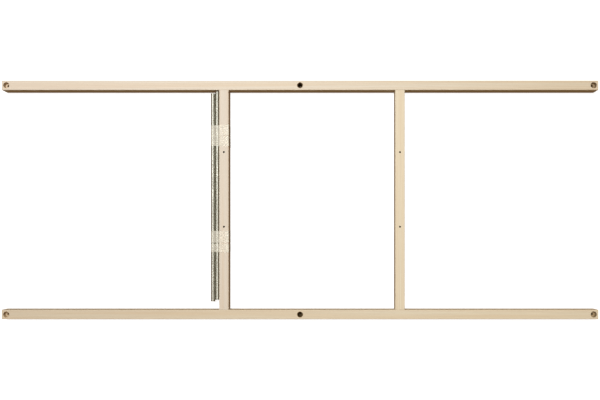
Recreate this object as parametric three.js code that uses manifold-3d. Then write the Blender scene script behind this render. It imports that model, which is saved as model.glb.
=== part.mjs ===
// Timber stretcher frame, in millimetres.
// Two long side rails are joined by two dowelled cross bars. Each rail has a counterbored bolt hole
// at both ends and a lined socket at its middle. Two steel rods, which stand in those sockets in
// use, are stowed beside the left cross bar under bands of tape.
// +X runs along the rails to the right, +Y across to the far rail and +Z up.
// The origin is at the centre of the frame's underside.

import * as THREE from "three";
import { mergeVertices } from "three/addons/utils/BufferGeometryUtils.js";
import Module from "manifold-3d";

const wasm = await Module();
wasm.setup();

// Frame
const FRAME_LENGTH = 2000;
const FRAME_WIDTH = 800;
const TIMBER = 32; // the side of the square section
const ARRIS = 2; // the rounding along the timber's edges
const END_CHAMFER = 1; // on the rails; the cross bars are cut square to butt against them
const LEFT_BAY = 729; // clear length from the left end to the left cross bar
const RIGHT_BAY = 649; // clear length from the right cross bar to the right end
const BAR_LIFT = 1; // the cross bars clear the ground, and are level with the rails on top
const JOINT_GAP = 0.05; // glue line between a cross bar and a rail

// Holes
const BOLT_RADIUS = 4.25;
const COUNTERBORE_RADIUS = 10;
const COUNTERBORE_DEPTH = 12;
const PILOT_RADIUS = 3;
const PILOT_DEPTH = 20;
const PILOTS_FROM_FAR_EDGE = [240, 490];
const HOLE_SIDES = 40;

// Dowels
const DOWEL_RADIUS = 4.9;
const DOWEL_FLUTE = 0.35;
const DOWEL_FLUTES = 12;
const DOWEL_LENGTH = 50;
const DOWEL_IN_RAIL = 24.5;
const DOWEL_SPACING = 16;
const DOWEL_CLEARANCE = 0.3;

// Rods and their sockets
const ROD_RADIUS = 7;
const ROD_WALL = 1.5;
const ROD_END_CHAMFER = 0.4;
const ROD_LENGTH = 698;
const ROD_SIDES = 40;
const ROD_GAP = 0.3; // between the two rods, and between a rod and the bar
const INNER_ROD_TO_RAIL = 5; // from a rod's far end to the far rail
const OUTER_ROD_TO_RAIL = 10.5;
const BUSH_BORE_RADIUS = ROD_RADIUS + 0.3;
const BUSH_RADIUS = 9.5;
const BUSH_FLOOR = 2;
const BUSH_LENGTH = 27;
const BUSH_CHAMFER = 0.6;
const BUSH_CLEARANCE = 0.3;

// Tape
const TAPE_GAP = 0.3;
const TAPE_THICKNESS = 0.4;
// Each strip's far edge and its width, across the frame.
const TAPE_STRIPS = [
  { name: "tape_far_band_1", farEdge: 251, width: 36 },
  { name: "tape_far_band_2", farEdge: 214.7, width: 34.5 },
  { name: "tape_near_band_1", farEdge: -103.5, width: 40 },
  { name: "tape_near_band_2", farEdge: -147, width: 28.5 },
];

const railY = FRAME_WIDTH / 2 - TIMBER / 2;
const innerWidth = FRAME_WIDTH - 2 * TIMBER;
const leftBarX = -FRAME_LENGTH / 2 + LEFT_BAY + TIMBER / 2;
const rightBarX = FRAME_LENGTH / 2 - RIGHT_BAY - TIMBER / 2;
const barHeight = TIMBER - BAR_LIFT;
const dowelZ = BAR_LIFT + barHeight / 2;
const rodZ = TIMBER - ROD_RADIUS;
const innerRodX = leftBarX - TIMBER / 2 - ROD_GAP - ROD_RADIUS;
const outerRodX = innerRodX - ROD_GAP - 2 * ROD_RADIUS;

const beech = new THREE.MeshStandardMaterial({ color: 0xe6d9c2, roughness: 0.62, metalness: 0 });
const dowelBeech = new THREE.MeshStandardMaterial({ color: 0xd8bf98, roughness: 0.7, metalness: 0 });
const zincSteel = new THREE.MeshStandardMaterial({ color: 0xb9bcb0, roughness: 0.32, metalness: 1 });
const blackPlastic = new THREE.MeshStandardMaterial({ color: 0x16130f, roughness: 0.5, metalness: 0 });
const creamTape = new THREE.MeshStandardMaterial({ color: 0xede3c9, roughness: 0.75, metalness: 0 });

// A closed geometry as a manifold-3d solid.
function solidOf(geometry) {
  const bare = geometry.index ? geometry.toNonIndexed() : geometry.clone();
  bare.deleteAttribute("normal");
  bare.deleteAttribute("uv");
  const merged = mergeVertices(bare, 1e-4);
  return new wasm.Manifold(
    new wasm.Mesh({
      numProp: 3,
      vertProperties: merged.attributes.position.array,
      triVerts: new Uint32Array(merged.index.array),
    }),
  );
}

// A geometry with others cut out of it.
function cut(geometry, cutters) {
  const left = cutters.reduce((solid, cutter) => solid.subtract(solidOf(cutter)), solidOf(geometry));
  const mesh = left.getMesh();
  return new THREE.BufferGeometry()
    .setAttribute("position", new THREE.BufferAttribute(mesh.vertProperties, 3))
    .setIndex(new THREE.BufferAttribute(mesh.triVerts, 1))
    .toNonIndexed();
}

function part(name, geometry, material) {
  geometry.computeVertexNormals();
  const mesh = new THREE.Mesh(geometry, material);
  mesh.name = name;
  return mesh;
}

// A timber bar with rounded edges, centred on X and Y, with its underside at Z 0.
function timberBar(length, width, height, endChamfer) {
  const w = width / 2 - ARRIS;
  const h = height / 2 - ARRIS;
  const section = new THREE.Shape()
    .absarc(w, h, ARRIS, 0, Math.PI / 2)
    .absarc(-w, h, ARRIS, Math.PI / 2, Math.PI)
    .absarc(-w, -h, ARRIS, Math.PI, Math.PI * 1.5)
    .absarc(w, -h, ARRIS, Math.PI * 1.5, Math.PI * 2);
  return new THREE.ExtrudeGeometry(section, {
    depth: length - 2 * endChamfer,
    curveSegments: 3,
    bevelEnabled: endChamfer > 0,
    bevelThickness: endChamfer,
    bevelSize: endChamfer,
    bevelOffset: -endChamfer,
    bevelSegments: 1,
  })
    .translate(0, 0, endChamfer - length / 2)
    .rotateX(Math.PI / 2)
    .rotateZ(Math.PI / 2)
    .translate(0, 0, height / 2);
}

// A round cutter from a mouth at Z top down to Z floor.
function boreDown(radius, x, y, top, floor) {
  return new THREE.CylinderGeometry(radius, radius, top - floor, HOLE_SIDES)
    .rotateX(Math.PI / 2)
    .translate(x, y, (top + floor) / 2);
}

// A round cutter along Y, from one Y to another.
function boreAcross(radius, x, z, fromY, toY) {
  return new THREE.CylinderGeometry(radius, radius, Math.abs(toY - fromY), HOLE_SIDES)
    .translate(x, (fromY + toY) / 2, z);
}

function dowelOffsets() {
  return [-DOWEL_SPACING / 2, DOWEL_SPACING / 2];
}

// side is 1 for the far rail and -1 for the near one.
function sideRail(name, side) {
  const over = 1; // how far a cutter passes the face that it opens
  const endX = FRAME_LENGTH / 2 - TIMBER / 2;
  const cutters = [
    boreDown(BUSH_RADIUS + BUSH_CLEARANCE, 0, 0, TIMBER + over, TIMBER - BUSH_LENGTH - BUSH_CLEARANCE),
  ];
  for (const x of [-endX, endX]) {
    cutters.push(boreDown(BOLT_RADIUS, x, 0, TIMBER, -over));
    cutters.push(boreDown(COUNTERBORE_RADIUS, x, 0, TIMBER + over, TIMBER - COUNTERBORE_DEPTH));
  }
  const innerFace = (-side * TIMBER) / 2;
  const dowelEnd = innerFace + side * (DOWEL_IN_RAIL + DOWEL_CLEARANCE);
  for (const barX of [leftBarX, rightBarX])
    for (const offset of dowelOffsets())
      cutters.push(
        boreAcross(DOWEL_RADIUS + DOWEL_CLEARANCE, barX + offset, dowelZ, innerFace - side * over, dowelEnd),
      );
  const rail = part(name, cut(timberBar(FRAME_LENGTH, TIMBER, TIMBER, END_CHAMFER), cutters), beech);
  rail.position.y = side * railY;
  return rail;
}

// The bar is made along X and turned to lie along Y, so its own -Y side is the frame's +X side.
function crossBar(name, x) {
  const length = innerWidth - 2 * JOINT_GAP;
  const over = 1;
  const cutters = PILOTS_FROM_FAR_EDGE.map((fromEdge) =>
    boreDown(PILOT_RADIUS, FRAME_WIDTH / 2 - fromEdge, 0, barHeight + over, barHeight - PILOT_DEPTH),
  );
  const depth = DOWEL_LENGTH - DOWEL_IN_RAIL + DOWEL_CLEARANCE;
  for (const end of [-1, 1])
    for (const offset of dowelOffsets()) {
      const mouth = end * (length / 2 + over);
      const floor = end * (length / 2 - depth);
      cutters.push(
        boreAcross(DOWEL_RADIUS + DOWEL_CLEARANCE, 0, 0, mouth, floor)
          .rotateZ(-Math.PI / 2)
          .translate(0, offset, barHeight / 2),
      );
    }
  const bar = part(name, cut(timberBar(length, TIMBER, barHeight, 0), cutters), beech);
  bar.rotation.z = Math.PI / 2;
  bar.position.set(x, 0, BAR_LIFT);
  return bar;
}

// A fluted dowel along Y, across the joint between a bar and a rail.
function dowel(name, x, side) {
  const chamfer = 1.2;
  const section = new THREE.Shape();
  for (let i = 0; i < 2 * DOWEL_FLUTES; i++) {
    const r = DOWEL_RADIUS - (i % 2) * DOWEL_FLUTE;
    const a = (i * Math.PI) / DOWEL_FLUTES;
    if (i === 0) section.moveTo(r, 0);
    else section.lineTo(r * Math.cos(a), r * Math.sin(a));
  }
  section.closePath();
  const geometry = new THREE.ExtrudeGeometry(section, {
    depth: DOWEL_LENGTH - 2 * chamfer,
    bevelThickness: chamfer,
    bevelSize: chamfer / 2,
    bevelOffset: -chamfer / 2,
    bevelSegments: 1,
  })
    .translate(0, 0, chamfer - DOWEL_LENGTH / 2)
    .rotateX(Math.PI / 2);
  const mesh = part(name, geometry, dowelBeech);
  mesh.position.set(x, side * (innerWidth / 2 + DOWEL_IN_RAIL - DOWEL_LENGTH / 2), dowelZ);
  return mesh;
}

// A closed-ended sleeve that lines a socket, with its mouth level with the rail's top.
function socketBush(name, side) {
  const profile = [
    [0, 0],
    [BUSH_RADIUS, 0],
    [BUSH_RADIUS, BUSH_LENGTH],
    [BUSH_BORE_RADIUS + BUSH_CHAMFER, BUSH_LENGTH],
    [BUSH_BORE_RADIUS, BUSH_LENGTH - BUSH_CHAMFER],
    [BUSH_BORE_RADIUS, BUSH_FLOOR],
    [0, BUSH_FLOOR],
  ].map(([r, z]) => new THREE.Vector2(r, z));
  const geometry = new THREE.LatheGeometry(profile, HOLE_SIDES).rotateX(Math.PI / 2);
  const mesh = part(name, geometry, blackPlastic);
  mesh.position.set(0, side * railY, TIMBER - BUSH_LENGTH);
  return mesh;
}

// A tube along Y, with both ends deburred inside and out.
function storageRod(name, x, toRail) {
  const inside = ROD_RADIUS - ROD_WALL;
  const end = ROD_LENGTH / 2;
  const deburred = end - ROD_END_CHAMFER;
  const profile = [
    [inside, -deburred],
    [inside + ROD_END_CHAMFER, -end],
    [ROD_RADIUS - ROD_END_CHAMFER, -end],
    [ROD_RADIUS, -deburred],
    [ROD_RADIUS, deburred],
    [ROD_RADIUS - ROD_END_CHAMFER, end],
    [inside + ROD_END_CHAMFER, end],
    [inside, deburred],
    [inside, -deburred],
  ].map(([r, y]) => new THREE.Vector2(r, y));
  const geometry = new THREE.LatheGeometry(profile, ROD_SIDES);
  const mesh = part(name, geometry, zincSteel);
  mesh.position.set(x, innerWidth / 2 - toRail - ROD_LENGTH / 2, rodZ);
  return mesh;
}

// The line of a belt pulled round some circles, given anticlockwise, and held off them by a distance.
function beltRound(path, circles, off) {
  const normalFrom = circles.map((a, i) => {
    const b = circles[(i + 1) % circles.length];
    const along = Math.atan2(b.y - a.y, b.x - a.x);
    return along - Math.acos((a.r - b.r) / Math.hypot(b.x - a.x, b.y - a.y));
  });
  circles.forEach((c, i) => {
    const start = normalFrom[(i + circles.length - 1) % circles.length];
    path.absarc(c.x, c.y, c.r + off, start, normalFrom[i]);
  });
  return path.closePath();
}

// A strip of tape wound once round the left bar and both rods. The section is drawn in X and Z.
function tapeStrip({ name, farEdge, width }) {
  const left = leftBarX - TIMBER / 2 + ARRIS;
  const right = leftBarX + TIMBER / 2 - ARRIS;
  const wrapped = [
    { x: right, y: TIMBER - ARRIS, r: ARRIS },
    { x: outerRodX, y: rodZ, r: ROD_RADIUS },
    { x: left, y: BAR_LIFT + ARRIS, r: ARRIS },
    { x: right, y: BAR_LIFT + ARRIS, r: ARRIS },
  ];
  const section = beltRound(new THREE.Shape(), wrapped, TAPE_GAP + TAPE_THICKNESS);
  section.holes.push(beltRound(new THREE.Path(), wrapped, TAPE_GAP));
  const geometry = new THREE.ExtrudeGeometry(section, {
    depth: width,
    curveSegments: 8,
    bevelEnabled: false,
  }).rotateX(Math.PI / 2);
  const mesh = part(name, geometry, creamTape);
  mesh.position.y = farEdge;
  return mesh;
}

const frame = new THREE.Group();
frame.add(
  sideRail("side_rail_far", 1),
  sideRail("side_rail_near", -1),
  crossBar("cross_bar_left", leftBarX),
  crossBar("cross_bar_right", rightBarX),
  socketBush("socket_bush_far", 1),
  socketBush("socket_bush_near", -1),
);
const bars = { left: leftBarX, right: rightBarX };
const sides = { far: 1, near: -1 };
for (const [barName, barX] of Object.entries(bars))
  for (const [sideName, side] of Object.entries(sides))
    dowelOffsets().forEach((offset, i) =>
      frame.add(dowel(`dowel_${barName}_${sideName}_${i + 1}`, barX + offset, side)),
    );

const stowed = new THREE.Group();
stowed.add(
  storageRod("storage_rod_inner", innerRodX, INNER_ROD_TO_RAIL),
  storageRod("storage_rod_outer", outerRodX, OUTER_ROD_TO_RAIL),
  ...TAPE_STRIPS.map(tapeStrip),
);

const stretcherFrame = new THREE.Group();
stretcherFrame.add(frame, stowed);

export default stretcherFrame;
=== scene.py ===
import math
from collections import namedtuple

import bpy
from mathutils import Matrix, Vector, noise


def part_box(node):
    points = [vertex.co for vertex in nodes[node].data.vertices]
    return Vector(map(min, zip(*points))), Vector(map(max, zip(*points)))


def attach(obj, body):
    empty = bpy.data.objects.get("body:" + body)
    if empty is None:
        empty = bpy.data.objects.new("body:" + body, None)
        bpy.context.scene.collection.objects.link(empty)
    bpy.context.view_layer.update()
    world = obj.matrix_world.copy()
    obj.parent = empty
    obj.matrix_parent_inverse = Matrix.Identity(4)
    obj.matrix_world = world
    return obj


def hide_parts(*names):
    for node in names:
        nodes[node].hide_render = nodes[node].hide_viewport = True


# A timber stretcher frame, with two steel rods stowed beside its left cross bar under bands of
# tape. Lengths are in metres: +X runs along the rails, +Y across to the far rail and +Z up.

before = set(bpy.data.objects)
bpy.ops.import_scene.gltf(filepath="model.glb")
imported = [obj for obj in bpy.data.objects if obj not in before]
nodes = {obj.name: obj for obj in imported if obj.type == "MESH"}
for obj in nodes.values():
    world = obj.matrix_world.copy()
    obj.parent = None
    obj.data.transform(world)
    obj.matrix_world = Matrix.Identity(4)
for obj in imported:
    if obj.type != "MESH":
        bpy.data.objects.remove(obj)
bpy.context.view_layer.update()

MM = 0.001

RAILS = ("side_rail_far", "side_rail_near")
BARS = ("cross_bar_left", "cross_bar_right")
BUSHES = ("socket_bush_far", "socket_bush_near")
RODS = ("storage_rod_inner", "storage_rod_outer")
DOWELS = tuple(name for name in nodes if name.startswith("dowel_"))

# Worked out from the frame
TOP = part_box(RAILS[0])[1].z
HALF_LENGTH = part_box(RAILS[0])[1].x

# The sizes that the CAD gives the timber's arrises and holes
ARRIS = 2 * MM
COUNTERBORE_RADIUS = 10 * MM
PILOT_RADIUS = 3 * MM
PILOTS_FROM_FAR_EDGE = (240 * MM, 490 * MM)


def middle(name):
    low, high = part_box(name)
    return (low + high) / 2


# ---- Node helpers ----

def add_node(tree, kind, inputs=None, **settings):
    """Adds a node. inputs gives a value, or another node's output, for each named socket."""
    node = tree.nodes.new(kind)
    for setting, value in settings.items():
        setattr(node, setting, value)
    for socket, value in (inputs or {}).items():
        if isinstance(value, bpy.types.NodeSocket):
            tree.links.new(value, node.inputs[socket])
        else:
            node.inputs[socket].default_value = value
    return node


def calculate(tree, operation, first, second=0.0):
    inputs = {0: first, 1: second}
    return add_node(tree, "ShaderNodeMath", inputs, operation=operation).outputs[0]


def between(tree, value, low, high, to_low=0.0, to_high=1.0):
    """A value that goes smoothly from to_low to to_high as value goes from low to high."""
    inputs = {"Value": value, "From Min": low, "From Max": high, "To Min": to_low, "To Max": to_high}
    made = add_node(tree, "ShaderNodeMapRange", inputs, interpolation_type="SMOOTHSTEP")
    return made.outputs["Result"]


def mixed(tree, amount, first, second, blend="MIX"):
    """A mix of two colours."""
    inputs = {"Factor": amount, 6: first, 7: second}
    return add_node(tree, "ShaderNodeMix", inputs, data_type="RGBA", blend_type=blend).outputs[2]


def shade(tree, value):
    """A grey as bright as a value."""
    return add_node(tree, "ShaderNodeCombineColor", {0: value, 1: value, 2: value}).outputs[0]


def noise_field(tree, position, frequency, detail=2.0, roughness=0.5):
    """Noise with its own frequency along each axis, in cycles per metre."""
    spread = add_node(tree, "ShaderNodeVectorMath", {0: position, 1: frequency}, operation="MULTIPLY")
    inputs = {"Vector": spread.outputs[0], "Scale": 1.0, "Detail": detail, "Roughness": roughness}
    return add_node(tree, "ShaderNodeTexNoise", inputs).outputs["Fac"]


def bumped(tree, height, depth, strength):
    inputs = {"Height": height, "Distance": depth, "Strength": strength}
    return add_node(tree, "ShaderNodeBump", inputs).outputs["Normal"]


def new_material(name):
    """A material, its node tree, its shader and the place of each point in the frame."""
    material = bpy.data.materials.new(name)
    material.use_nodes = True
    tree = material.node_tree
    shader = tree.nodes["Principled BSDF"]
    position = add_node(tree, "ShaderNodeTexCoord").outputs["Object"]
    return material, tree, shader, position


def plug(tree, shader, socket, value):
    if isinstance(value, bpy.types.NodeSocket):
        tree.links.new(value, shader.inputs[socket])
    else:
        shader.inputs[socket].default_value = value


# ---- Materials ----

BEECH_PALE = (0.655, 0.615, 0.535, 1)
BEECH_WARM = (0.635, 0.555, 0.445, 1)
BEECH_LATEWOOD = (0.55, 0.45, 0.34, 1)
BEECH_FLECK = (0.38, 0.28, 0.18, 1)
RING_PITCH = 3.4 * MM  # between the timber's growth rings
PITH_SWAY = 16 * MM  # how far the rings' centre wanders along a board
BRIGHT_ZINC = (0.505, 0.52, 0.47, 1)
DULL_ZINC = (0.465, 0.48, 0.435, 1)
# Brown-black of the socket bushes, which is also painted shade for the dark depth of the socket
PLASTIC_HOLE_SHADE = (0.085, 0.050, 0.014, 1)
PLASTIC_RUBBED = (0.11, 0.075, 0.04, 1)
TAPE_CREAM = (0.60, 0.58, 0.50, 1)
TAPE_MILKY = (0.66, 0.645, 0.58, 1)
TAPE_ALPHA = 0.32  # of each of the tape's two faces

# Holes drilled from above: their centres, their radius, and their tones at the board's two ends, as
# tones, which darken the wood in the holes as painted shade, partly also the drilled wall's own torn
# grain
Drilling = namedtuple("Drilling", "centres radius tones")


def in_holes(tree, position, drilling):
    """1 in each drilled hole, and 0 away from them all and on the timber's underside."""
    flat = add_node(tree, "ShaderNodeVectorMath", {0: position, 1: (1, 1, 0)}, operation="MULTIPLY")
    covered = 0.0
    for centre in drilling.centres:
        inputs = {0: flat.outputs[0], 1: (centre.x, centre.y, 0)}
        away = add_node(tree, "ShaderNodeVectorMath", inputs, operation="DISTANCE").outputs["Value"]
        inside = between(tree, away, drilling.radius + 0.5 * MM, drilling.radius)
        covered = calculate(tree, "MAXIMUM", inside, covered)
    height = add_node(tree, "ShaderNodeSeparateXYZ", {0: position}).outputs["Z"]
    return calculate(tree, "MULTIPLY", covered, between(tree, height, ARRIS, 2 * ARRIS))


def beech(name, along, shift, drilling, tones):
    """Planed beech. along is the axis that the grain follows, 0 for X or 1 for Y.

    shift is the board's own place in the tree, and tones are its tones at its two ends, first at the
    left or near one.
    """
    material, tree, shader, position = new_material(name)
    axes = add_node(tree, "ShaderNodeSeparateXYZ", {0: position}).outputs
    turned = {"X": axes[along], "Y": axes[1 - along], "Z": axes[2]}
    grain = add_node(tree, "ShaderNodeCombineXYZ", turned).outputs[0]
    board = add_node(tree, "ShaderNodeVectorMath", {0: grain, 1: shift}, operation="ADD").outputs[0]

    # Growth rings, as cylinders round a pith that wanders a little along the board
    sway = noise_field(tree, board, (2.2, 14, 14), detail=1.0)
    sway = calculate(tree, "MULTIPLY", sway, PITH_SWAY)
    across = add_node(tree, "ShaderNodeVectorMath", {0: board, 1: (0, 1, 1)}, operation="MULTIPLY")
    from_pith = add_node(tree, "ShaderNodeVectorMath", {0: across.outputs[0]}, operation="LENGTH")
    ring = calculate(tree, "ADD", from_pith.outputs["Value"], sway)
    ring = calculate(tree, "FRACT", calculate(tree, "DIVIDE", ring, RING_PITCH))
    latewood = between(tree, ring, 0.55, 1.0, 0.0, 1.0)
    latewood = calculate(tree, "MULTIPLY", latewood, between(tree, ring, 1.0, 0.96, 0.0, 1.0))

    bands = noise_field(tree, board, (0.9, 70, 70), detail=2.0)
    fibres = noise_field(tree, board, (9, 1100, 1100), detail=3.0, roughness=0.6)
    rays = noise_field(tree, board, (210, 1500, 1500), detail=1.0)
    flecks = between(tree, rays, 0.66, 0.74, 0.0, 1.0)

    colour = mixed(tree, between(tree, bands, 0.3, 0.7), BEECH_PALE, BEECH_WARM)
    colour = mixed(tree, calculate(tree, "MULTIPLY", latewood, 0.35), colour, BEECH_LATEWOOD)
    colour = mixed(tree, calculate(tree, "MULTIPLY", flecks, 0.35), colour, BEECH_FLECK)
    streak = between(tree, fibres, 0.25, 0.75, 0.93, 1.05)
    colour = mixed(tree, 1.0, colour, shade(tree, streak), "MULTIPLY")

    # End grain drinks in the light, and painted shade darkens the holes, with a little of a drilled
    # wall's own torn grain
    facing = add_node(tree, "ShaderNodeNewGeometry").outputs["Normal"]
    end = add_node(tree, "ShaderNodeSeparateXYZ", {0: facing}).outputs[along]
    end = between(tree, calculate(tree, "ABSOLUTE", end), 0.8, 0.98, 1.0, 0.8)
    colour = mixed(tree, 1.0, colour, shade(tree, end), "MULTIPLY")
    low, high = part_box(name)
    share = between(tree, axes[along], low[along], high[along])
    hole_shade = mixed(tree, share, *drilling.tones)
    colour = mixed(tree, in_holes(tree, position, drilling), colour, hole_shade, "MULTIPLY")
    colour = mixed(tree, 1.0, colour, mixed(tree, share, *tones), "MULTIPLY")

    plug(tree, shader, "Base Color", colour)
    plug(tree, shader, "Roughness", between(tree, fibres, 0.2, 0.8, 0.52, 0.7))
    plug(tree, shader, "Specular IOR Level", 0.35)
    relief = calculate(tree, "SUBTRACT", fibres, calculate(tree, "MULTIPLY", flecks, 0.5))
    plug(tree, shader, "Normal", bumped(tree, relief, 0.12 * MM, 0.6))
    return material


def zinc_steel(name, shift):
    """Steel tube under bright zinc, with the fine rings that a polishing belt leaves round it."""
    material, tree, shader, position = new_material(name)
    inputs = {0: position, 1: shift}
    place = add_node(tree, "ShaderNodeVectorMath", inputs, operation="ADD").outputs[0]
    rings = noise_field(tree, place, (30, 2400, 30), detail=2.0, roughness=0.6)
    clouds = noise_field(tree, place, (70, 26, 70), detail=3.0)
    spread = add_node(tree, "ShaderNodeVectorMath", {0: place, 1: (420, 260, 420)}, operation="MULTIPLY")
    inputs = {"Vector": spread.outputs[0], "Scale": 1.0}
    spangle = add_node(tree, "ShaderNodeTexVoronoi", inputs, feature="F1").outputs["Color"]
    spangle = add_node(tree, "ShaderNodeSeparateColor", {0: spangle}).outputs[0]

    colour = mixed(tree, between(tree, clouds, 0.3, 0.7), BRIGHT_ZINC, DULL_ZINC)
    tone = between(tree, spangle, 0.0, 1.0, 0.96, 1.01)
    colour = mixed(tree, 1.0, colour, shade(tree, tone), "MULTIPLY")
    facing = add_node(tree, "ShaderNodeNewGeometry").outputs["Normal"]
    end = add_node(tree, "ShaderNodeSeparateXYZ", {0: facing}).outputs["Y"]
    end = between(tree, calculate(tree, "ABSOLUTE", end), 0.5, 0.9, 1.0, 0.6)
    colour = mixed(tree, 1.0, colour, shade(tree, end), "MULTIPLY")

    plug(tree, shader, "Base Color", colour)
    plug(tree, shader, "Metallic", 1.0)
    plug(tree, shader, "Roughness", between(tree, clouds, 0.25, 0.75, 0.50, 0.58))
    plug(tree, shader, "Normal", bumped(tree, rings, 0.02 * MM, 0.15))

    # The rings stretch a highlight along the tube
    round_tube = add_node(tree, "ShaderNodeTangent", direction_type="RADIAL", axis="Y")
    plug(tree, shader, "Tangent", round_tube.outputs[0])
    plug(tree, shader, "Anisotropic", 0.65)
    plug(tree, shader, "Anisotropic Rotation", 0.25)
    return material


def black_plastic(name):
    """Moulded black plastic, finely grained and rubbed paler round the mouth. Its brown-black also
    serves as painted shade deep in the socket.
    """
    material, tree, shader, position = new_material(name)
    grain = noise_field(tree, position, (2400, 2400, 2400), detail=2.0)
    scuffs = noise_field(tree, position, (500, 500, 900), detail=3.0)
    height = add_node(tree, "ShaderNodeSeparateXYZ", {0: position}).outputs["Z"]
    rim = between(tree, height, TOP - 0.8 * MM, TOP, 0.0, 1.0)
    worn = calculate(tree, "MULTIPLY", rim, between(tree, scuffs, 0.5, 0.7, 0.0, 0.5))
    colour = mixed(tree, worn, PLASTIC_HOLE_SHADE, PLASTIC_RUBBED)
    plug(tree, shader, "Base Color", colour)
    plug(tree, shader, "Specular IOR Level", 0.25)
    plug(tree, shader, "Roughness", between(tree, scuffs, 0.3, 0.7, 0.42, 0.6))
    plug(tree, shader, "Normal", bumped(tree, grain, 0.03 * MM, 0.4))
    return material


def crepe_tape(name, shift):
    """Thin cream crepe tape, blotched where air is caught under it."""
    material, tree, shader, position = new_material(name)
    inputs = {0: position, 1: shift}
    place = add_node(tree, "ShaderNodeVectorMath", inputs, operation="ADD").outputs[0]
    blotches = noise_field(tree, place, (130, 130, 130), detail=3.0, roughness=0.6)
    crepe = noise_field(tree, place, (1500, 240, 1500), detail=2.0, roughness=0.6)
    colour = mixed(tree, between(tree, blotches, 0.35, 0.65), TAPE_CREAM, TAPE_MILKY)
    tone = between(tree, crepe, 0.25, 0.75, 0.97, 1.02)
    colour = mixed(tree, 1.0, colour, shade(tree, tone), "MULTIPLY")
    plug(tree, shader, "Base Color", colour)
    plug(tree, shader, "Roughness", 0.55)
    plug(tree, shader, "Alpha", TAPE_ALPHA)
    plug(tree, shader, "Normal", bumped(tree, crepe, 0.06 * MM, 0.25))
    return material


# ---- Smooth shading of the CAD pieces ----

WELD_DISTANCE = 0.001 * MM
SHARP_ANGLE = math.radians(38)


def smoothing_group():
    """Geometry nodes that join a mesh's split corners and smooth it, except across sharp edges."""
    group = bpy.data.node_groups.new("smooth_by_angle", "GeometryNodeTree")
    group.interface.new_socket("Geometry", in_out="INPUT", socket_type="NodeSocketGeometry")
    group.interface.new_socket("Geometry", in_out="OUTPUT", socket_type="NodeSocketGeometry")
    start = add_node(group, "NodeGroupInput").outputs[0]
    inputs = {"Geometry": start, "Distance": WELD_DISTANCE}
    welded = add_node(group, "GeometryNodeMergeByDistance", inputs)
    inputs = {"Geometry": welded.outputs[0], "Shade Smooth": True}
    faces = add_node(group, "GeometryNodeSetShadeSmooth", inputs, domain="FACE")
    angle = add_node(group, "GeometryNodeInputMeshEdgeAngle").outputs["Unsigned Angle"]
    inputs = {0: angle, 1: SHARP_ANGLE}
    sharp = add_node(group, "FunctionNodeCompare", inputs, data_type="FLOAT", operation="GREATER_THAN")
    inputs = {"Geometry": faces.outputs[0], "Selection": sharp.outputs[0], "Shade Smooth": False}
    edges = add_node(group, "GeometryNodeSetShadeSmooth", inputs, domain="EDGE")
    add_node(group, "NodeGroupOutput", {0: edges.outputs[0]})
    return group


def smooth(names):
    group = smoothing_group()
    for name in names:
        nodes[name].modifiers.new("smooth", "NODES").node_group = group
        weighted = nodes[name].modifiers.new("weighted", "WEIGHTED_NORMAL")
        weighted.keep_sharp = True


def dress(name, material):
    mesh = nodes[name].data
    mesh.materials.clear()
    mesh.materials.append(material)


# ---- The timber, rods and bushes ----

def corner_holes(rail):
    centre = middle(rail)
    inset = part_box(rail)[1].y - centre.y
    return [Vector((side * (HALF_LENGTH - inset), centre.y, 0)) for side in (-1, 1)]


def dress_rail(name, shift, tones):
    holes = [*corner_holes(name), Vector((0, middle(name).y, 0))]
    # Painted shade in the counterbores and socket holes: light at the left-hand holes and deep at the
    # right-hand ones, whose floors lie in the shade of their rims; a little of it is the drilled wall's
    # own torn grain
    left_hole_tone = (0.95, 0.84, 0.70, 1)
    shaded_hole_tone = (0.56, 0.47, 0.36, 1)
    drilling = Drilling(holes, COUNTERBORE_RADIUS, (left_hole_tone, shaded_hole_tone))
    dress(name, beech(name, 0, shift, drilling, tones))


def dress_bar(name, shift, tones):
    far_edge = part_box(RAILS[0])[1].y
    holes = [Vector((middle(name).x, far_edge - inset, 0)) for inset in PILOTS_FROM_FAR_EDGE]
    # Painted shade that makes the pilot holes near black inside
    shaded_hole_tone = (0.11, 0.08, 0.05, 1)
    drilling = Drilling(holes, PILOT_RADIUS, (shaded_hole_tone, shaded_hole_tone))
    dress(name, beech(name, 1, shift, drilling, tones))


def dress_frame():
    pinkish = (0.95, 0.96, 0.99, 1)
    straw = (0.935, 0.92, 0.855, 1)
    greyed = (0.84, 0.81, 0.74, 1)
    golden = (1.00, 0.99, 0.90, 1)
    cream = (0.91, 0.91, 0.93, 1)
    tan = (0.92, 0.85, 0.78, 1)
    undrilled = Drilling([], 0.0, (tan, tan))
    dress_rail("side_rail_far", (0.31, -0.335, 0.055), (pinkish, straw))
    dress_rail("side_rail_near", (1.70, 0.470, 0.040), (greyed, golden))
    dress_bar("cross_bar_left", (0.90, 0.330, 0.030), (cream, cream))
    dress_bar("cross_bar_right", (2.60, -0.250, 0.075), (golden, golden))
    for index, name in enumerate(DOWELS):
        shift = (0.37 * index, 0.03, 0.02)
        dress(name, beech(name, 1, shift, undrilled, (tan, tan)))
    for name in BUSHES:
        dress(name, black_plastic(name))
    for index, name in enumerate(RODS):
        dress(name, zinc_steel(name, (0.2, 0.8 * index, 0.1)))


# ---- The tape ----

TAPE_OFF = 0.42 * MM  # from what is wrapped to the middle of the tape
TAPE_THICKNESS = 0.16 * MM
TAPE_STEP = 1.1 * MM  # between a tape mesh's points
OUTLINE_STEP = 0.25 * MM  # between the points of the outline that the tape follows
CORNER_STEPS = 12  # in the arc where the outline turns round a circle
TAPE_START = 14 * MM  # from a strip's start, on the bar's right side, up to its upper corner
TAPE_LAP = 24 * MM  # how far the end of a strip laps over its start
LAP_RISE = 0.3 * MM  # how far the lapped end stands up from the strip's start
LAP_RAMP = 3 * MM  # the length over which it rises
FRAY = 0.5 * MM  # how far a strip's edges stray
VALLEY_DIP = 0.9 * MM  # how far the tape sinks between two things that it bridges
TOOTH = 1.6 * MM  # the pitch of the teeth that a strip was torn off on


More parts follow.
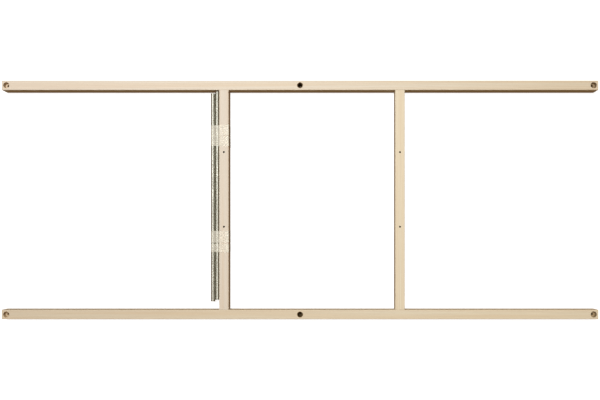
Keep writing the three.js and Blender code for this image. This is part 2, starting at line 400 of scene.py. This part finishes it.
def belt(circles, off):
    """Points round some circles, given anticlockwise as (x, z, radius), on a belt pulled over them."""
    arcs = []
    for (x, z, r), (next_x, next_z, next_r) in zip(circles, circles[1:] + circles[:1]):
        along = math.atan2(next_z - z, next_x - x)
        apart = math.hypot(next_x - x, next_z - z)
        arcs.append(along - math.acos((r - next_r) / apart))
    points = []
    for index, (x, z, r) in enumerate(circles):
        start, end = arcs[index - 1], arcs[index]
        while end < start:
            end += 2 * math.pi
        for step in range(CORNER_STEPS + 1):
            angle = start + (end - start) * step / CORNER_STEPS
            points.append(Vector((x + (r + off) * math.cos(angle), z + (r + off) * math.sin(angle))))
    return points


def evenly(points, spacing):
    """A closed line's points again, evenly spaced, and its length."""
    closed = points + points[:1]
    lengths = [0.0]
    for a, b in zip(closed, closed[1:]):
        lengths.append(lengths[-1] + (b - a).length)
    total = lengths[-1]
    count = round(total / spacing)
    spaced = []
    segment = 0
    for index in range(count):
        at = total * index / count
        while lengths[segment + 1] < at:
            segment += 1
        part = (at - lengths[segment]) / (lengths[segment + 1] - lengths[segment])
        spaced.append(closed[segment].lerp(closed[segment + 1], part))
    return spaced, total


def wrapped_outline():
    """The bar's right corners and left foot, and the outer rod, as circles for the tape's belt."""
    bar_low, bar_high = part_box("cross_bar_left")
    rod = middle("storage_rod_outer")
    rod_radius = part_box("storage_rod_outer")[1].x - rod.x
    return [
        (bar_high.x - ARRIS, bar_high.z - ARRIS, ARRIS),
        (rod.x, rod.z, rod_radius),
        (bar_low.x + ARRIS, bar_low.z + ARRIS, ARRIS),
        (bar_high.x - ARRIS, bar_low.z + ARRIS, ARRIS),
    ]


def crest_places():
    """Where the tape is held up on top, from left to right: by both rods and the bar's left edge."""
    bar_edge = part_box("cross_bar_left")[0].x + ARRIS
    return [middle("storage_rod_outer").x, middle("storage_rod_inner").x, bar_edge]


def valley(x, crests):
    """How far the tape sinks at x between its crests, as a share."""
    for left, right in zip(crests, crests[1:]):
        if left < x < right:
            return math.sin(math.pi * (x - left) / (right - left)) ** 2
    return 0.0


def crumple(place, seed):
    """Height of the tape's wrinkles at a place along and across it: broad swellings with sharp folds.

    The numbers that multiply a place are in cycles per metre.
    """
    along, across = place
    broad = noise.noise(Vector((along * 70, across * 60, seed)))
    fold = noise.noise(Vector((along * 150 + across * 90, across * 60 - along * 40, seed + 9)))
    ridge = (1 - min(1.0, abs(fold) * 2.2)) ** 4
    return (0.10 * max(broad, 0) + 0.22 * ridge * max(0.0, broad + 0.35)) * MM


def torn(across, seed):
    """How far the torn end of a strip sticks out, by its teeth and a slight slant."""
    tooth = abs((across / TOOTH) % 1 - 0.5) * TOOTH
    return tooth + 1.2 * MM * noise.noise(Vector((across * 40, seed, 0)))


def strip_points(start_y, width, seed, slant, layer):
    """The points of a strip wound once round the left bar and both rods, and how many rows it has.

    The strip's end is lapped over its start. slant is how far the loop leans along the bar, and
    layer lifts it over its neighbour.
    """
    outline, around = evenly(belt(wrapped_outline(), TAPE_OFF + layer), OUTLINE_STEP)
    centre = sum(outline, Vector((0, 0))) / len(outline)
    crests = crest_places()
    spacing = around / len(outline)
    start = around - TAPE_START
    length = around + TAPE_LAP
    rows = round(length / TAPE_STEP)
    columns = round(width / TAPE_STEP)
    points = []
    for row in range(rows + 1):
        for column in range(columns + 1):
            share = column / columns
            across = width * share
            far_end = length + torn(across, seed)
            near_end = -torn(across, seed + 5)
            along = near_end + (far_end - near_end) * row / rows
            index = ((start + along) / spacing) % len(outline)
            before = outline[int(index)]
            after = outline[(int(index) + 1) % len(outline)]
            point = before.lerp(after, index % 1)
            tangent = (after - before).normalized()
            outward = Vector((tangent.y, -tangent.x))
            lap = min(1.0, max(0.0, (along - around) / LAP_RAMP + 1))
            rise = crumple((along, across), seed) + lap * LAP_RISE
            if point.y > centre.y:
                depth = 0.75 + 0.45 * noise.noise(Vector((across * 120, seed, 3)))
                rise -= VALLEY_DIP * valley(point.x, crests) * depth
            point = point + outward * rise
            lean = slant * math.cos(2 * math.pi * along / around)
            fray = (share - 0.5) * FRAY * noise.noise(Vector((along * 160, seed, share * 3)))
            points.append((point.x, start_y + across + lean + fray, point.y))
    return points, rows + 1


def grid_faces(rows, columns):
    """The faces between points that stand in rows."""
    faces = []
    for row in range(rows - 1):
        for column in range(columns - 1):
            corner = row * columns + column
            faces.append((corner, corner + columns, corner + columns + 1, corner + 1))
    return faces


def tape_strip(node, seed, slant, layer):
    """Puts a crumpled strip of crepe tape in the place of a plain band."""
    low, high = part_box(node)
    points, rows = strip_points(low.y, high.y - low.y, seed, slant, layer)
    mesh = bpy.data.meshes.new(f"{node}_crepe")
    mesh.from_pydata(points, [], grid_faces(rows, len(points) // rows))
    mesh.polygons.foreach_set("use_smooth", [True] * len(mesh.polygons))
    strip = bpy.data.objects.new(f"{node}_crepe", mesh)
    bpy.context.scene.collection.objects.link(strip)
    thick = strip.modifiers.new("thickness", "SOLIDIFY")
    thick.thickness = TAPE_THICKNESS
    thick.offset = 0
    mesh.materials.append(crepe_tape(f"{node}_crepe", (0.1 * seed, 0, 0.3)))
    strip.visible_shadow = False  # it is thin enough to let the light through
    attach(strip, "frame")
    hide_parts(node)


def wind_tape():
    tape_strip("tape_far_band_1", 1, 2.0 * MM, 0.0)
    tape_strip("tape_far_band_2", 2, -0.8 * MM, 0.25 * MM)
    tape_strip("tape_near_band_1", 3, 0.6 * MM, 0.0)
    tape_strip("tape_near_band_2", 4, -0.5 * MM, 0.0)


# ---- The studio ----

STAGE_RADIUS = 24.0
FLOOR_DROP = 0.3 * MM  # keeps the floor from coinciding with the timber's underside
KEY_PLACE = Vector((-0.5, 1.0, 3.6))
KEY_SIZE = 1.3
KEY_ENERGY = 122
KEY_COLOUR = (0.975, 1.0, 1.0)
SKY_COLOUR = (1.0, 0.97, 0.92, 1)
SKY_FOCUS = 5.0  # how closely the bright part of the sky keeps to the key light
FILL_COLOUR = (1.0, 0.60, 0.28, 1)
FILL_STRENGTH = 0.21


def stage_material(name, glow, albedo):
    material, tree, shader, _ = new_material(name)
    plug(tree, shader, "Base Color", (albedo, albedo, albedo, 1))
    plug(tree, shader, "Roughness", 1.0)
    plug(tree, shader, "Specular IOR Level", 0.0)
    plug(tree, shader, "Emission Color", (1, 1, 1, 1))
    plug(tree, shader, "Emission Strength", glow)
    return material


def seen_by_camera_only(thing):
    thing.visible_diffuse = False
    thing.visible_glossy = False
    thing.visible_transmission = False
    thing.visible_shadow = False


def make_stage():
    """A pale floor that catches faint shadows, under a white dome."""
    bpy.ops.mesh.primitive_circle_add(vertices=96, radius=STAGE_RADIUS, fill_type="NGON")
    floor = bpy.context.object
    floor.name = "studio_floor"
    floor.location.z = -FLOOR_DROP
    floor.data.materials.append(stage_material("studio_floor", glow=0.88, albedo=0.35))
    bpy.ops.mesh.primitive_uv_sphere_add(segments=48, ring_count=24, radius=STAGE_RADIUS)
    dome = bpy.context.object
    dome.name = "studio_dome"
    dome.data.materials.append(stage_material("studio_dome", glow=1.1, albedo=0.0))
    for thing in (floor, dome):
        seen_by_camera_only(thing)


def light_world():
    """A soft sky that is white and brightest where the key light stands, and dim and warm around it."""
    world = bpy.data.worlds.new("studio")
    bpy.context.scene.world = world
    world.use_nodes = True
    tree = world.node_tree
    direction = add_node(tree, "ShaderNodeTexCoord").outputs["Generated"]
    inputs = {0: direction, 1: KEY_PLACE.normalized()}
    toward = add_node(tree, "ShaderNodeVectorMath", inputs, operation="DOT_PRODUCT").outputs["Value"]
    lobe = calculate(tree, "POWER", calculate(tree, "MAXIMUM", toward, 0.0), SKY_FOCUS)
    shader = tree.nodes["Background"]
    plug(tree, shader, "Color", mixed(tree, lobe, FILL_COLOUR, SKY_COLOUR))
    plug(tree, shader, "Strength", calculate(tree, "ADD", lobe, FILL_STRENGTH))


def add_key_light():
    light = bpy.data.lights.new("key", "AREA")
    light.shape = "DISK"
    light.size = KEY_SIZE
    light.energy = KEY_ENERGY
    light.color = KEY_COLOUR
    key = bpy.data.objects.new("key", light)
    key.location = KEY_PLACE
    key.rotation_euler = KEY_PLACE.to_track_quat("Z", "Y").to_euler()
    key.visible_camera = False
    bpy.context.scene.collection.objects.link(key)


def add_camera():
    """A camera over the frame, looking straight down. Its shift brings the frame to the middle."""
    camera = bpy.data.cameras.new("camera")
    camera.sensor_width = 36
    view_width = 2.010  # across the timber's upper face
    height = 1.6  # above that face
    foot = Vector((0.08, -0.145))  # the place under the camera
    view_middle = -0.0005  # the place along Y that comes to the middle of the view
    camera.lens = camera.sensor_width * height / view_width
    camera.shift_x = -foot.x / view_width
    camera.shift_y = (view_middle - foot.y) / view_width
    camera.clip_end = 3 * STAGE_RADIUS
    eye = bpy.data.objects.new("camera", camera)
    eye.location = (foot.x, foot.y, TOP + height)
    bpy.context.scene.collection.objects.link(eye)
    bpy.context.scene.camera = eye


bpy.context.scene.view_settings.view_transform = "Standard"
smooth((*RAILS, *BARS, *BUSHES, *RODS, *DOWELS))
dress_frame()
wind_tape()
make_stage()
light_world()
add_key_light()
add_camera()
